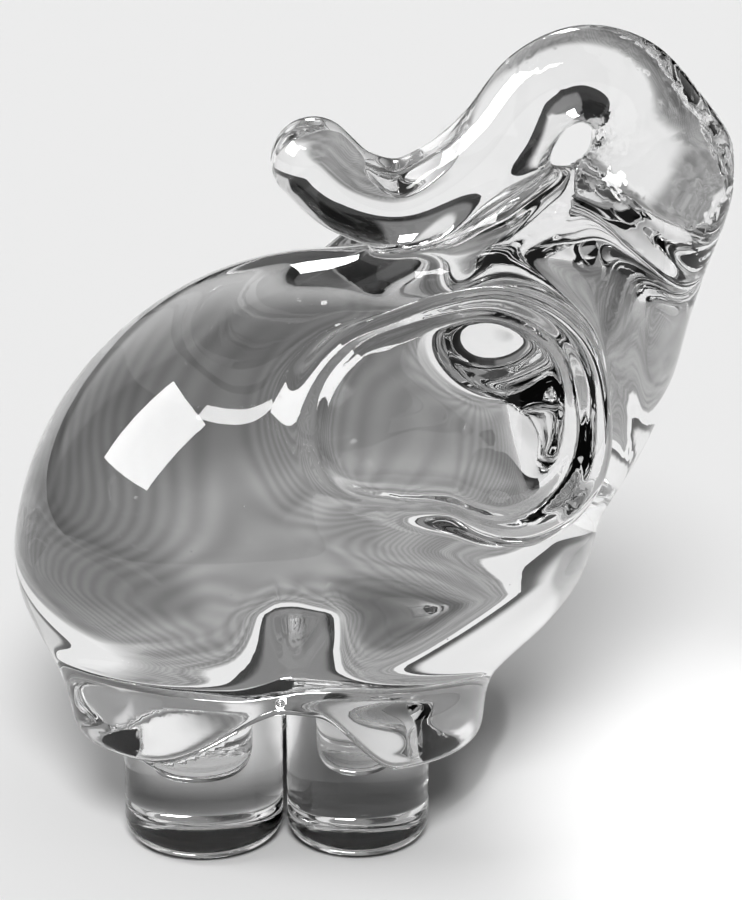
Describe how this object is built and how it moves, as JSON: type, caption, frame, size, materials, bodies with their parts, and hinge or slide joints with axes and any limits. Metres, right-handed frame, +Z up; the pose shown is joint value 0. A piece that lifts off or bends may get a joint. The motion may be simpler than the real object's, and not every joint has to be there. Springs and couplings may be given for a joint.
{
  "type": "glass elephant figurine",
  "caption": "Solid clear glass elephant figurine with a plump body, stubby round feet, thick applied ears and a raised trunk that curls back over its head.",
  "frame": {"origin": "middle of the footprint, on the surface that the feet stand on", "axes": "+X towards the elephant's face, +Y to its left side, +Z up"},
  "size_m": [0.1157, 0.0858, 0.1329],
  "materials": {
    "crystal": "fire-polished clear crystal"
  },
  "bodies": {
    "root": {"body": "crystal", "head": "crystal", "trunk": "crystal", "ear_left": "crystal", "ear_right": "crystal", "leg_front_left": "crystal", "leg_front_right": "crystal", "leg_hind_left": "crystal", "leg_hind_right": "crystal"}
  },
  "joints": []
}
